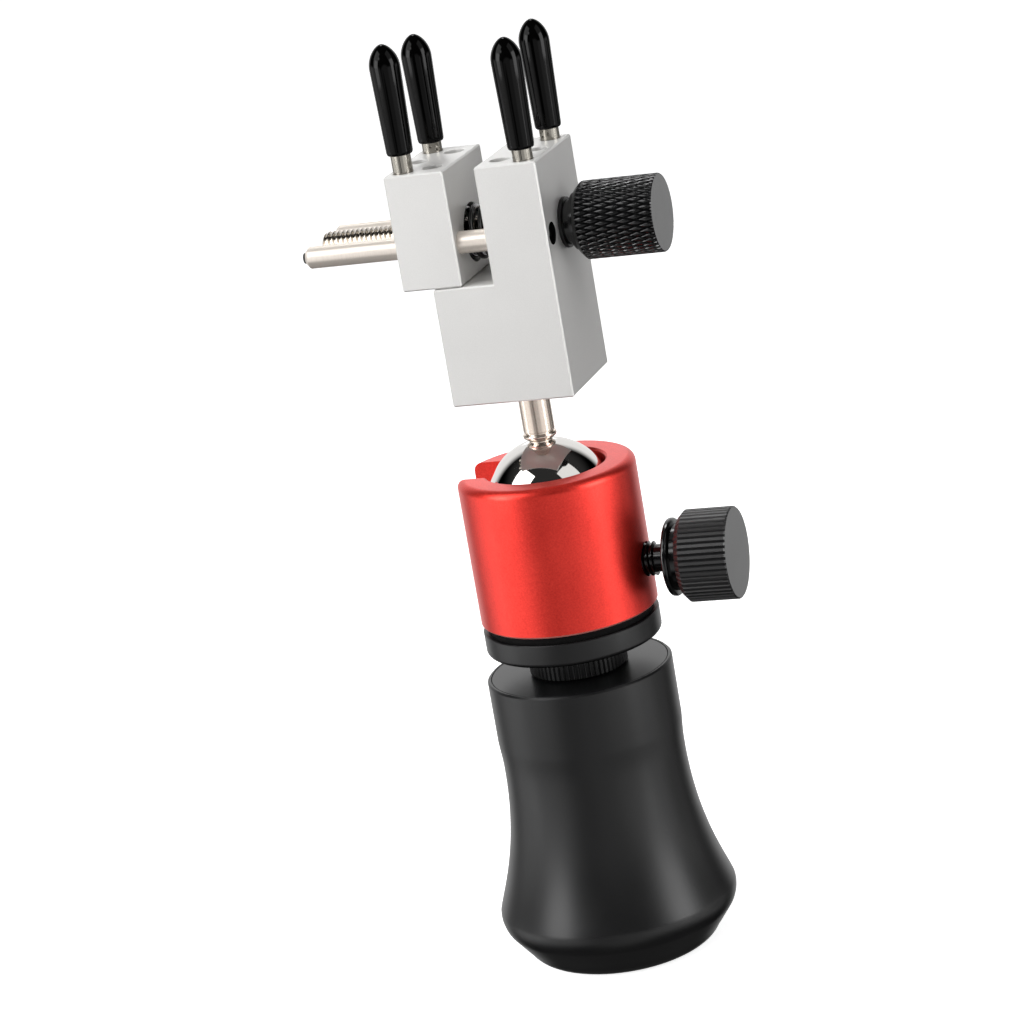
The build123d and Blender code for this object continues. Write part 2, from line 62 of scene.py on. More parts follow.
# ---- main heights, places and radii --------------------------------------------------------------
handle_top = 60.5
flange_z = 66.3
gasket_z = 71.1
housing_z = 72.6
housing_top = 103.1
lock_z = 82.1
ball_z = 95.9
ball_top = 108.6
block_z = 119.8
ledge_z = 143.6
jaw_top = 166.8
rod_z = 151.8
half_bar = 12.5
moving_x0 = -18.6
moving_x1 = -6.4
fixed_outer_x = 9.25
fixed_inner_x = 3.75
moving_outer_x = -15.35
moving_inner_x = -10.15
outer_y = 9.3
inner_y = 7.0
rod_y = 9.0
stud_bore = 3.205
ring_radius = 10
gasket_inner = 13.1
housing_radius = 18
notch_half = 5.7
ball_radius = 12.7
ball_bore = 12.75
lock_bore = 2.83
lock_knob_radius = 9.25
pin_hole = 2.03
pin_depth = 8
rod_hole = 2.23
screw_bore = 3.05
pocket_radius = 5.9
pocket_depth = 6


# ---- shaping -------------------------------------------------------------------------------------
def clear_selection():
    """Leave edit mode with nothing selected, so that the next operator acts on its own piece only."""
    if bpy.context.object and bpy.context.object.mode != "OBJECT":
        bpy.ops.object.mode_set(mode="OBJECT")
    bpy.ops.object.select_all(action="DESELECT")


def pick(piece):
    """Make one piece the selected and active one."""
    clear_selection()
    piece.select_set(True)
    bpy.context.view_layer.objects.active = piece


def draw_line(name, points, closed=False):
    """A wire through these points in mm, drawn by extruding one vertex from each to the next."""
    clear_selection()
    bpy.ops.mesh.primitive_plane_add(size=mm)
    wire = bpy.context.object
    wire.name = name
    wire.data.name = name
    bpy.ops.object.mode_set(mode="EDIT")
    bpy.ops.mesh.select_mode(type="VERT")
    bpy.ops.mesh.merge(type="CENTER")
    bpy.ops.transform.translate(value=Vector(points[0]) * mm)
    for here, there in zip(points, points[1:]):
        step = (Vector(there) - Vector(here)) * mm
        bpy.ops.mesh.extrude_vertices_move(TRANSFORM_OT_translate={"value": step})
    if closed:
        bpy.ops.mesh.select_all(action="SELECT")
        bpy.ops.mesh.edge_face_add()
    return wire


def merge_doubles():
    """In edit mode, select everything and make one vertex of those that lie together."""
    bpy.ops.mesh.select_all(action="SELECT")
    bpy.ops.mesh.remove_doubles(threshold=merge_gap)


def tidy_mesh(piece, smooth_angle=28):
    """Merge doubles, point the faces outwards and set the shading."""
    pick(piece)
    bpy.ops.object.mode_set(mode="EDIT")
    merge_doubles()
    bpy.ops.mesh.normals_make_consistent(inside=False)
    bpy.ops.object.mode_set(mode="OBJECT")
    bpy.ops.object.shade_smooth_by_angle(angle=radians(smooth_angle))
    return piece


def turn_up(name, outline, centre=(0, 0, 0), along="Z", steps=128, smooth_angle=28):
    """A piece turned on the lathe: an outline of (radius, place along the axis), spun round it."""
    x, y, z = centre
    if along == "Z":
        points = [(x + r, y, h) for r, h in outline]
        axis = (0, 0, 1)
    else:
        points = [(h, y, z + r) for r, h in outline]
        axis = (1, 0, 0)
    piece = draw_line(name, points)
    bpy.ops.mesh.select_all(action="SELECT")
    bpy.ops.mesh.spin(steps=steps, angle=2 * pi, center=Vector(centre) * mm, axis=axis)
    return tidy_mesh(piece, smooth_angle)


def arc(start, end, bulge, count=8):
    """Points of an arc between two outline points that bulges to the right of the way by this much."""
    a, b = Vector(start), Vector(end)
    chord = b - a
    length = chord.length
    radius = (length * length / 4 + bulge * bulge) / (2 * abs(bulge))
    aside = Vector((chord.y, -chord.x)) / length * (1 if bulge > 0 else -1)
    centre = (a + b) / 2 + aside * (abs(bulge) - radius)
    turn0 = atan2(*reversed(a - centre))
    turn1 = atan2(*reversed(b - centre))
    sweep = (turn1 - turn0 + pi) % (2 * pi) - pi
    turns = [turn0 + sweep * n / count for n in range(count + 1)]
    return [(centre.x + radius * cos(t), centre.y + radius * sin(t)) for t in turns]


def curve(start, pull_start, pull_end, end, count):
    """Points of a Bezier curve in the outline's plane."""
    made = []
    for n in range(count + 1):
        t = n / count
        s = 1 - t
        weights = (s**3, 3 * s * s * t, 3 * s * t * t, t**3)
        made.append(tuple(
            sum(w * p[k] for w, p in zip(weights, (start, pull_start, pull_end, end))) for k in (0, 1)
        ))
    return made


def plate(name, corners, depth_way, depth):
    """A flat face with these corners, drawn out straight by a depth."""
    piece = draw_line(name, corners, closed=True)
    way = Vector(depth_way) * depth * mm
    bpy.ops.mesh.extrude_region_move(TRANSFORM_OT_translate={"value": way})
    return tidy_mesh(piece)


def combine(piece, other, operation):
    """Join the piece with another solid by an exact boolean, which uses the other one up."""
    pick(piece)
    boolean = piece.modifiers.new("combine", "BOOLEAN")
    boolean.operation = operation
    boolean.solver = "EXACT"
    boolean.object = other
    bpy.ops.object.modifier_apply(modifier=boolean.name)
    bpy.data.objects.remove(other)


def cut(piece, cutter):
    """Take the cutter's solid out of the piece."""
    combine(piece, cutter, "DIFFERENCE")


def keep_common(piece, other):
    """Keep what the piece and the other solid share."""
    combine(piece, other, "INTERSECT")


def drill(piece, radius, start, length, along, steps=48, break_edge=0.0):
    """Drill a round hole from a point on the surface, its rim broken by a small chamfer if asked."""
    x, y, z = start
    over = 1.0
    sign = 1 if length > 0 else -1
    foot = (z if along == "Z" else x) - over * sign
    mouth = foot + over * sign
    wide = radius + break_edge
    outline = [(0, foot), (wide, foot)]
    if break_edge:
        outline += [(wide, mouth)]
    outline += [(radius, mouth + break_edge * sign), (radius, mouth + length), (0, mouth + length)]
    centre = (x, y, 0) if along == "Z" else (0, y, z)
    cut(piece, turn_up("drill", outline, centre, along, steps))


def select_where(piece, test, kind="FACE"):
    """Select the faces or vertices whose place passes the test, or the edges by both ends, in edit mode."""
    bpy.ops.object.mode_set(mode="EDIT")
    bpy.ops.mesh.select_mode(type=kind)
    bpy.ops.mesh.select_all(action="DESELECT")
    bpy.ops.object.mode_set(mode="OBJECT")
    mesh = piece.data
    if kind == "FACE":
        for face in mesh.polygons:
            face.select = test(face.center / mm)
    elif kind == "EDGE":
        for edge in mesh.edges:
            a, b = (mesh.vertices[i].co / mm for i in edge.vertices)
            edge.select = test(a, b)
    else:
        for vertex in mesh.vertices:
            vertex.select = test(vertex.co / mm)
    bpy.ops.object.mode_set(mode="EDIT")


def cut_flutes(piece, centre, along, steps, per_flute, outer_radius, depth):
    """Sink every so many columns of a turned wall, which leaves straight ribs."""
    cx, cy, cz = centre
    skin = 0.06

    def in_flute(p):
        a, b = (p.x - cx, p.y - cy) if along == "Z" else (p.z - cz, p.y - cy)
        column = round((atan2(b, a) % (2 * pi)) / (2 * pi / steps))
        return hypot(a, b) > outer_radius - skin and column % per_flute == 0

    pick(piece)
    select_where(piece, in_flute, "VERT")
    small = (outer_radius - depth) / outer_radius
    value = (small, small, 1) if along == "Z" else (1, small, small)
    bpy.ops.transform.resize(value=value, center_override=Vector(centre) * mm)
    return tidy_mesh(piece, 20)


def wind_up(piece, pitch, turns, steps):
    """Wind an outline round the X axis, a pitch further with every turn, and stay in edit mode."""
    bpy.ops.object.mode_set(mode="OBJECT")
    wind = piece.modifiers.new("wind", "SCREW")
    wind.axis = "X"
    wind.angle = 2 * pi
    wind.screw_offset = pitch * mm
    wind.iterations = turns
    wind.steps = steps
    wind.render_steps = steps
    bpy.ops.object.modifier_apply(modifier=wind.name)
    bpy.ops.object.mode_set(mode="EDIT")
    merge_doubles()


def lift_to(axis_z):
    """In edit mode, raise everything from the X axis to this height."""
    bpy.ops.mesh.select_all(action="SELECT")
    bpy.ops.transform.translate(value=(0, 0, axis_z * mm))


def screw_thread(name, crest, pitch, x0, x1, axis_z, envelope, steps):
    """A threaded rod along X: one pitch of the thread's outline, wound round the axis turn by turn,
    and trimmed to an envelope turned from this outline."""
    root = crest - 0.6134 * pitch
    spare_turns = 3
    start = x0 - spare_turns / 2 * pitch
    outline = [(root, 0), (root, 0.12), (crest, 0.44), (crest, 0.56), (root, 0.88), (root, 1)]
    rod = draw_line(name, [(start + place * pitch, 0, r) for r, place in outline])
    wind_up(rod, pitch, int((x1 - x0) / pitch) + spare_turns, steps)
    bpy.ops.mesh.fill_holes(sides=0)
    lift_to(axis_z)
    tidy_mesh(rod, 32)
    keep_common(rod, turn_up("envelope", envelope, (0, 0, axis_z), "X", 96))
    return tidy_mesh(rod, 32)


def join(name, pieces):
    """One piece of several."""
    clear_selection()
    for piece in pieces:
        piece.select_set(True)
    bpy.context.view_layer.objects.active = pieces[0]
    bpy.ops.object.join()
    pieces[0].name = name
    pieces[0].data.name = name
    return pieces[0]


def coat(piece, finish):
    """Give a piece this finish all over."""
    piece.data.materials.clear()
    piece.data.materials.append(finish)


def refinish(piece, finish, test):
    """Give the faces that pass the test, by their middle and their normal, another finish."""
    piece.data.materials.append(finish)
    for face in piece.data.polygons:
        if test(face.center / mm, face.normal):
            face.material_index = len(piece.data.materials) - 1


def fit(piece, body, node, finish):
    """Give a piece its finish, and let it move with its body and stand for its node of the model."""
    coat(piece, finish)
    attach(piece, body)
    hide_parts(node)
    return piece


# ---- finishes ------------------------------------------------------------------------------------
def colour(code):
    """Linear RGBA of an sRGB hex colour."""
    parts = [int(code[n : n + 2], 16) / 255 for n in (1, 3, 5)]
    return [c / 12.92 if c <= 0.04045 else ((c + 0.055) / 1.055) ** 2.4 for c in parts] + [1.0]


def add_node(tree, kind, settings=(), values=(), links=()):
    """Add one node with its settings, its input values and what feeds its inputs."""
    node = tree.nodes.new(kind)
    for name, setting in dict(settings).items():
        setattr(node, name, setting)
    for name, value in dict(values).items():
        node.inputs[name].default_value = value
    for name, source in dict(links).items():
        tree.links.new(source, node.inputs[name])
    return node


def new_finish(name, values):
    """An empty finish: its node tree, its shader with these constants, and the piece's own coordinates."""
    finish = bpy.data.materials.new(name)
    finish.use_nodes = True
    tree = finish.node_tree
    tree.nodes.clear()
    shader = add_node(tree, "ShaderNodeBsdfPrincipled", values=values)
    add_node(tree, "ShaderNodeOutputMaterial", links={"Surface": shader.outputs["BSDF"]})
    place = add_node(tree, "ShaderNodeTexCoord")
    return finish, tree, shader, place.outputs["Object"]


def lay_on(tree, shader, tints, tone, roughness, wear, depth, height):
    """Colour the shader between two tints by a tone, roughen it between two values by its wear, and
    let a height as deep as this in mm bump it."""
    tint = add_node(
        tree, "ShaderNodeMix", {"data_type": "RGBA"}, {6: colour(tints[0]), 7: colour(tints[1])}, {0: tone}
    )
    tree.links.new(tint.outputs[2], shader.inputs["Base Color"])
    uneven = add_node(
        tree, "ShaderNodeMapRange", values={3: roughness[0], 4: roughness[1]}, links={0: wear}
    )
    tree.links.new(uneven.outputs[0], shader.inputs["Roughness"])
    bump = add_node(
        tree, "ShaderNodeBump", values={"Strength": 1.0, "Distance": depth * mm}, links={"Height": height}
    )
    tree.links.new(bump.outputs["Normal"], shader.inputs["Normal"])


def grain_finish(name, dark, light, metallic, rough, grain, depth, **values):
    """Metal with a fine random grain, blasted or etched, then dyed and sealed in faint clouds."""
    finish, tree, shader, place = new_finish(name, {"Metallic": metallic, **values})
    cloud_size = 9
    fine_share = 0.75
    fine = add_node(
        tree, "ShaderNodeTexNoise", values={"Scale": 1 / (grain * mm), "Detail": 3.0, "Roughness": 0.6},
        links={"Vector": place},
    ).outputs["Fac"]
    cloud = add_node(
        tree, "ShaderNodeTexNoise", values={"Scale": 1 / (cloud_size * mm), "Detail": 2.0},
        links={"Vector": place},
    ).outputs["Fac"]
    fine_part = add_node(tree, "ShaderNodeMath", {"operation": "MULTIPLY"}, {1: fine_share}, {0: fine})
    both = add_node(
        tree, "ShaderNodeMath", {"operation": "MULTIPLY_ADD"}, {1: 1 - fine_share},
        {0: cloud, 2: fine_part.outputs[0]},
    )
    lay_on(
        tree, shader, (dark, light), both.outputs[0], (rough - 0.04, rough + 0.04), cloud, depth, fine
    )
    return finish


def turned_finish(name, dark, light, metallic, rough, line, depth, centre=(0, 0, 0), along="Z", **values):
    """Metal with fine rings left by the lathe, round an axis through this centre in mm."""
    finish, tree, shader, place = new_finish(name, {"Metallic": metallic, **values})
    tilt = (0, 0, 0) if along == "Z" else (0, -pi / 2, 0)
    centred = add_node(
        tree, "ShaderNodeVectorMath", {"operation": "SUBTRACT"}, {1: [c * mm for c in centre]}, {0: place}
    )
    aligned = add_node(
        tree, "ShaderNodeMapping", values={"Rotation": tilt}, links={"Vector": centred.outputs[0]}
    )
    parts = add_node(tree, "ShaderNodeSeparateXYZ", links={0: aligned.outputs[0]})
    flat = add_node(tree, "ShaderNodeCombineXYZ", links={0: parts.outputs[0], 1: parts.outputs[1]})
    radius = add_node(tree, "ShaderNodeVectorMath", {"operation": "LENGTH"}, links={0: flat.outputs[0]})
    spread = add_node(
        tree, "ShaderNodeCombineXYZ", links={0: radius.outputs["Value"], 2: parts.outputs[2]}
    )
    rings = add_node(
        tree, "ShaderNodeTexNoise", values={"Scale": 1 / (line * mm), "Detail": 2.0, "Roughness": 0.6},
        links={"Vector": spread.outputs[0]},
    ).outputs["Fac"]
    lay_on(tree, shader, (dark, light), rings, (rough - 0.05, rough + 0.05), rings, depth, rings)
    return finish


def smooth_finish(name, dark, light, metallic, rough, wave, depth, **values):
    """A smooth skin, polished, dipped or moulded, with a slow unevenness."""
    finish, tree, shader, place = new_finish(name, {"Metallic": metallic, **values})
    slow = add_node(
        tree, "ShaderNodeTexNoise", values={"Scale": 1 / (wave * mm), "Detail": 2.0}, links={"Vector": place}
    ).outputs["Fac"]
    lay_on(tree, shader, (dark, light), slow, (rough * 0.8, rough * 1.2), slow, depth, slow)
    return finish


# black anodised aluminium, satin: soft streaks on a near black ground, light only at grazing edges
satin_black = grain_finish(
    "black_anodised_satin", "#0a0a0b", "#121213", metallic=0.0, rough=0.36, grain=0.25, depth=0.003,
    **{"Specular IOR Level": 0.38},
)
# the same, turned face: faint rings on the handle's top
turned_black = turned_finish(
    "black_anodised_turned", "#0b0b0c", "#161617", metallic=0.0, rough=0.33, line=0.12, depth=0.002,
    **{"Specular IOR Level": 0.3},
)
# the same on the thumb knob and the lock knob's face, glossier where the tool cut it
knob_black = grain_finish(
    "black_anodised_knurled", "#0b0b0c", "#161617", metallic=0.0, rough=0.18, grain=0.2, depth=0.002,
    **{"Specular IOR Level": 0.62},
)
# the same on the lock knob's ribs, which are duller
rib_black = grain_finish(
    "black_anodised_ribbed", "#0e0e0f", "#1a1a1b", metallic=0.0, rough=0.42, grain=0.2, depth=0.004,
    **{"Specular IOR Level": 0.62},
)
# the same on the jam ring, painted darker still as the shade in its gap under the flange, and nearly without
# shine
ring_black_painted_shade = grain_finish(
    "black_anodised_ring_painted_shade", "#070708", "#0e0e0f", metallic=0.0, rough=0.42, grain=0.2, depth=0.002,
    **{"Specular IOR Level": 0.25},
)
# red anodised aluminium over a bead blasted surface: a fine sparkling grain under a deep metallic red
anodised_red = grain_finish(
    "red_anodised_blasted", "#bd110c", "#ff4b3e", metallic=0.8, rough=0.36, grain=0.35, depth=0.02,
    **{"Coat Weight": 0.12, "Coat Roughness": 0.3},
)
# the same on the bottom edge's small chamfer, painted paler: a thin painted highlight line
painted_highlight_red = grain_finish(
    "red_anodised_painted_highlight", "#ff8a80", "#ffb0a8", metallic=0.3, rough=0.3, grain=0.35, depth=0.002
)
# clear anodised aluminium over a bead blasted surface: pale, even and dull, nearly without reflections
anodised_clear = grain_finish(
    "clear_anodised_blasted", "#d6d5d3", "#e6e5e3", metallic=0.28, rough=0.42, grain=0.22, depth=0.004
)
# hard chrome on a ground steel ball: a mirror
ball_chrome = smooth_finish(
    "polished_chrome", "#d9d6d2", "#e4e2df", metallic=1.0, rough=0.05, wave=6, depth=0.0005
)
# nickel plated, ground steel: warm, fairly sharp reflections with the grinder's rings
nickel_upright = turned_finish(
    "ground_nickel_upright", "#c8baae", "#ddd0c4", metallic=0.85, rough=0.2, line=0.15, depth=0.0004
)
nickel_across = turned_finish(
    "ground_nickel_across", "#d8cec4", "#eee5db", metallic=0.45, rough=0.3, line=0.15, depth=0.0005,
    centre=(0, 0, rod_z), along="X",
)
# hardened, ground pins: sharper, with dark bands along them
pin_steel = turned_finish(
    "ground_pin_steel", "#88847c", "#a6a29a", metallic=1.0, rough=0.07, line=0.15, depth=0.0004
)
# rolled steel thread, bright with a thin oil film
thread_steel = smooth_finish(
    "rolled_thread_steel", "#a9a39b", "#d8d0c5", metallic=1.0, rough=0.16, wave=0.5, depth=0.001
)
# black oxide on steel, oiled: nearly black and glossy
oxide_black = smooth_finish(
    "black_oxide", "#060607", "#0d0d0e", metallic=0.0, rough=0.16, wave=1.5, depth=0.001
)
# black lacquered spring wire: thin bright lines along black wire
wire_black = smooth_finish(
    "spring_wire_black", "#050505", "#0c0c0c", metallic=0.0, rough=0.1, wave=2, depth=0.001,
    **{"Specular IOR Level": 1.0},
)
# dipped vinyl: thick glossy skin with long soft highlights
dipped_vinyl = smooth_finish(
    "dipped_vinyl", "#020202", "#040404", metallic=0.0, rough=0.09, wave=4, depth=0.01,
    **{"Specular IOR Level": 0.12},
)
# moulded rubber: matt and nearly black
rubber_black = smooth_finish(
    "black_rubber", "#030303", "#070707", metallic=0.0, rough=0.8, wave=1, depth=0.02,
    **{"Specular IOR Level": 0.15},
)
# turned acetal, black in the thrust washer and white in the ball's seat: an even, waxy sheen
acetal_black = smooth_finish(
    "black_acetal", "#060606", "#0b0b0b", metallic=0.0, rough=0.4, wave=2, depth=0.002
)
acetal_white = smooth_finish(
    "white_acetal", "#d8d5cb", "#e6e3da", metallic=0.0, rough=0.4, wave=3, depth=0.002
)
# plain bright steel of the hidden stud, wedge and washer: a soft, grey shine
bright_steel = smooth_finish(
    "bright_steel", "#9a9792", "#b9b6b1", metallic=1.0, rough=0.3, wave=1, depth=0.002
)


# ---- handle --------------------------------------------------------------------------------------
waist = (18.57, 41.4)
line_z = 47.6
flare = (24.4, 11.0)
flare_way = radians(17)
flare_pull = 4.5
cap_z = 58
handle_outline = [(0, 1.5), (12.53, 1.5), (12.53, 0.15), (12.68, 0), (16, 0)]
handle_outline += arc((16, 0), (20.2, 2.524), 0.68)[1:]
handle_outline += [(21.2, 3.83), (22.4, 5.4), (23.3, 6.6)]
handle_outline += arc((23.6, 7.0), flare, 0.35, 10)
handle_outline += curve(
    flare, (flare[0] - flare_pull * sin(flare_way), flare[1] + flare_pull * cos(flare_way)),
    (waist[0], waist[1] - 16.8), waist, 34,
)[1:]
handle_outline += curve(waist, (waist[0], waist[1] + 2.6), (18.768, line_z - 2.2), (18.9, line_z), 10)[1:]
handle_outline += [(18.9, 60.15), (18.55, handle_top), (18.15, handle_top), (18.15, cap_z)]
handle_outline += [(stud_bore, cap_z), (stud_bore, 42), (0, 42)]
handle_body = turn_up("handle_shell", handle_outline, steps=160, smooth_angle=20)
fit(handle_body, "handle", "handle_body", satin_black)

cap_outline = [(stud_bore, cap_z), (18.1, cap_z), (18.1, 60.3), (17.95, handle_top - 0.03)]
cap_outline += [(3.4, handle_top - 0.03), (stud_bore, 60.3), (stud_bore, cap_z)]
handle_cap = turn_up("handle_top_disc", cap_outline)
fit(handle_cap, "handle", "handle_cap", turned_black)

# flat rings with shallow grooves between them
pad_outline = [(0, 1.5), (12.5, 1.5), (12.5, 0.2), (12.3, 0.0), (10.6, 0.0), (10.4, 0.4), (9.6, 0.4)]
pad_outline += [(9.4, 0.0), (7.6, 0.0), (7.4, 0.4), (6.6, 0.4), (6.4, 0.0), (4.6, 0.0), (4.4, 0.4)]
pad_outline += [(3.6, 0.4), (3.4, 0.0), (0, 0.0)]
foot_pad = turn_up("foot_pad_rings", pad_outline)
fit(foot_pad, "handle", "foot_pad", rubber_black)

ring_bore, ring_z0, ring_z1, ring_edge = 3.225, 60.55, 66.25, 0.4
ring_steps = 240
ring_outline = [(ring_bore, ring_z0), (ring_radius - ring_edge, ring_z0), (ring_radius, ring_z0 + ring_edge)]
ring_outline += [(ring_radius, ring_z1 - ring_edge), (ring_radius - ring_edge, ring_z1)]
ring_outline += [(ring_bore, ring_z1), (ring_bore, ring_z0)]
lock_ring = turn_up("lock_ring_knurled", ring_outline, steps=ring_steps)
cut_flutes(lock_ring, (0, 0, 0), "Z", ring_steps, 4, ring_radius, 0.22)
# the jam ring's darker colour is painted shade from the flange above it
fit(lock_ring, "ring", "lock_ring", ring_black_painted_shade)

# ---- ball head -----------------------------------------------------------------------------------
# how far a quarter round of radius 1 stands off its chord
quarter_bulge = 1 - cos(pi / 4)
flange_outline = [(0, 75.8), (stud_bore, 75.8), (stud_bore, flange_z)]
flange_outline += arc((16.9, flange_z), (17.9, flange_z + 1), quarter_bulge)
flange_outline += [(17.9, 70.95), (17.75, gasket_z), (13.07, gasket_z), (13.07, 78.5), (0, 78.5)]
flange = turn_up("flange_turned", flange_outline)
fit(flange, "head_base", "base_flange", satin_black)

gasket_outline = [(gasket_inner, gasket_z), (16.9, gasket_z), (16.9, housing_z), (gasket_inner, housing_z)]
gasket_outline += [(gasket_inner, gasket_z)]
gasket = turn_up("gasket_ring", gasket_outline)
fit(gasket, "head_base", "friction_gasket", rubber_black)

rim_round = 1.7
lip_above = 4.0
lip_radius = sqrt(ball_bore**2 - lip_above**2)
housing_outline = [(gasket_inner, housing_z), (housing_radius - 0.4, housing_z)]
housing_outline += [(housing_radius, housing_z + 0.4), (housing_radius, 80), (housing_radius, 90)]
housing_outline += arc(
    (housing_radius, housing_top - rim_round), (housing_radius - rim_round, housing_top),
    rim_round * quarter_bulge, 10,
)
housing_outline += [(lip_radius + 0.4, housing_top), (lip_radius, housing_top - 0.4)]
housing_outline += arc((lip_radius, ball_z + lip_above), (ball_bore, ball_z), -0.16)
housing_outline += [(gasket_inner, ball_z), (gasket_inner, housing_z)]
housing = turn_up("housing_shell", housing_outline, steps=160)
notch_turns = [pi + pi * n / 24 for n in range(25)]
notch_corners = [(-20, notch_half * cos(t), ball_z + notch_half * sin(t)) for t in notch_turns]
notch_corners += [(-20, notch_half, housing_top + 2), (-20, -notch_half, housing_top + 2)]
cut(housing, plate("notch_cutter", notch_corners, (1, 0, 0), 20))
drill(housing, 3.55, (housing_radius + 0.5, 0, lock_z), -10, "X")
tidy_mesh(housing)
fit(housing, "head_base", "housing", anodised_red)
# painted highlight: the bottom chamfer's faces get a paler red, a thin light line along the edge
refinish(
    housing, painted_highlight_red,
    lambda at, n: at.z < housing_z + 0.3 and hypot(at.x, at.y) > housing_radius - 0.4,
)

stem_foot, stem_top = 98.1, 131.8
ball_steps = 72
# how much of the half round there is up to the stem's hole
ball_reach = 0.941
ball_turns = [pi * n / ball_steps * ball_reach for n in range(1, ball_steps + 1)]
ball_outline = [(0.0, ball_z - ball_radius)]
ball_outline += [(ball_radius * sin(t), ball_z - ball_radius * cos(t)) for t in ball_turns]
ball_outline += [(2.35, stem_foot), (0, stem_foot)]
ball = turn_up("ball_polished", ball_outline)
fit(ball, "ball", "ball", ball_chrome)

stem_outline = [(0, stem_foot), (2.3, stem_foot), (2.3, ball_top)]
stem_outline += arc((3.26, 109.25), (3.26, 110.05), 0.14, 6)
stem_outline += [(2.85, 110.05), (2.85, 110.5), (3.1, 110.5), (3.175, 110.6), (3.175, stem_top)]
stem_outline += [(0, stem_top)]
stem = turn_up("stem_turned", stem_outline, steps=96)
fit(stem, "vise", "ball_stem", nickel_upright)

# ---- lock screw, collar and knob -----------------------------------------------------------------
lock_axis = (0, 0, lock_z)
thread_end, neck_end = 19.9, 31.7
screw_outline = [(0, 8.5), (2.9, 8.5), (3.6, 9.2), (3.6, thread_end), (0, thread_end)]
lock_thread = screw_thread("lock_thread", 3.5, 1.0, 8.5, thread_end, lock_z, screw_outline, 40)
neck_outline = [(0, 19.4), (2.8, 19.4), (2.8, neck_end), (0, neck_end)]
lock_neck = turn_up("lock_neck", neck_outline, lock_axis, "X", 64)
lock_screw = join("lock_screw_threaded", [lock_thread, lock_neck])
fit(lock_screw, "lock", "lock_screw", oxide_black)

collar_x0, collar_x1 = 22.9, 25.7
collar_outline = [(lock_bore, collar_x0), (7.45, collar_x0)]
collar_outline += arc((7.45, collar_x0), (7.85, 23.3), 0.12, 4)[1:]
collar_outline += arc((7.85, 23.7), (7.45, 24.1), 0.12, 4)
collar_outline += [(6.7, 24.1), (6.7, collar_x1), (lock_bore, collar_x1), (lock_bore, collar_x0)]
collar = turn_up("collar_turned", collar_outline, lock_axis, "X", 96)
fit(collar, "lock", "lock_collar", oxide_black)

lock_knob_steps = 200
lock_knob_outline = [(0, neck_end), (lock_bore, neck_end), (lock_bore, collar_x1), (8.15, collar_x1)]
lock_knob_outline += [(lock_knob_radius, 26.8), (lock_knob_radius, 36.3), (9.0, 36.55), (0, 36.55)]
lock_knob = turn_up("lock_knob_ribbed", lock_knob_outline, lock_axis, "X", lock_knob_steps)
cut_flutes(lock_knob, lock_axis, "X", lock_knob_steps, 4, lock_knob_radius, 0.4)
fit(lock_knob, "lock", "lock_knob", rib_black)
refinish(lock_knob, knob_black, lambda at, n: n.x > 0.9)

# ---- vise block and jaws -------------------------------------------------------------------------
def break_edges(piece, width, spare=None):
    """Chamfer all straight edges of a block but the spared one."""
    pick(piece)
    select_where(piece, lambda a, b: spare is None or not spare((a + b) / 2), "EDGE")
    bpy.ops.mesh.bevel(offset=width * mm, segments=1, affect="EDGES")
    bpy.ops.object.mode_set(mode="OBJECT")


def drill_jaw(piece, outer_x, inner_x, gap_x, way, rod_way_radius):
    """Pin holes from the top, the spring's pocket from the gap face, and the ways of rods and screw."""
    holes = [(outer_x, y) for y in (-outer_y, 0, outer_y)] + [(inner_x, y) for y in (-inner_y, inner_y)]
    for x, y in holes:
        drill(piece, pin_hole, (x, y, jaw_top), -pin_depth, "Z", break_edge=0.12)
    through = way * 16
    for y in (-rod_y, rod_y):
        drill(piece, rod_way_radius, (gap_x, y, rod_z), through, "X")
    drill(piece, screw_bore, (gap_x, 0, rod_z), through, "X")
    drill(piece, pocket_radius, (gap_x, 0, rod_z), way * pocket_depth, "X", 64)


def from_rod(at):
    """Distance in mm from the axis of the nearer guide rod."""
    return hypot(abs(at.y) - rod_y, at.z - rod_z)


fixed_corners = [
    (-half_bar, -half_bar, block_z), (half_bar, -half_bar, block_z), (half_bar, -half_bar, jaw_top),
    (0, -half_bar, jaw_top), (0, -half_bar, ledge_z), (-half_bar, -half_bar, ledge_z),
]
fixed_jaw = plate("fixed_jaw_milled", fixed_corners, (0, 1, 0), 2 * half_bar)
break_edges(fixed_jaw, 0.3, lambda p: abs(p.x) < 0.01 and abs(p.z - ledge_z) < 0.01)
drill(fixed_jaw, stud_bore, (0, 0, block_z), 12, "Z")
drill_jaw(fixed_jaw, fixed_outer_x, fixed_inner_x, 0, 1, rod_hole)
tidy_mesh(fixed_jaw)
fit(fixed_jaw, "vise", "fixed_jaw", anodised_clear)
# the walls of the rods' holes, round their plug screws, coloured black: painted shade in the recess of the
# jaw's outer face
refinish(fixed_jaw, oxide_black, lambda at, n: from_rod(at) < rod_hole + 0.02 and abs(n.x) < 0.2)

moving_z = ledge_z + 0.15
moving_corners = [
    (moving_x0, -half_bar, moving_z), (moving_x1, -half_bar, moving_z),
    (moving_x1, -half_bar, jaw_top), (moving_x0, -half_bar, jaw_top),
]
moving_jaw = plate("moving_jaw_milled", moving_corners, (0, 1, 0), 2 * half_bar)
break_edges(moving_jaw, 0.3)
drill_jaw(moving_jaw, moving_outer_x, moving_inner_x, moving_x1, -1, rod_hole + 0.02)
tidy_mesh(moving_jaw)
fit(moving_jaw, "jaw", "moving_jaw", anodised_clear)

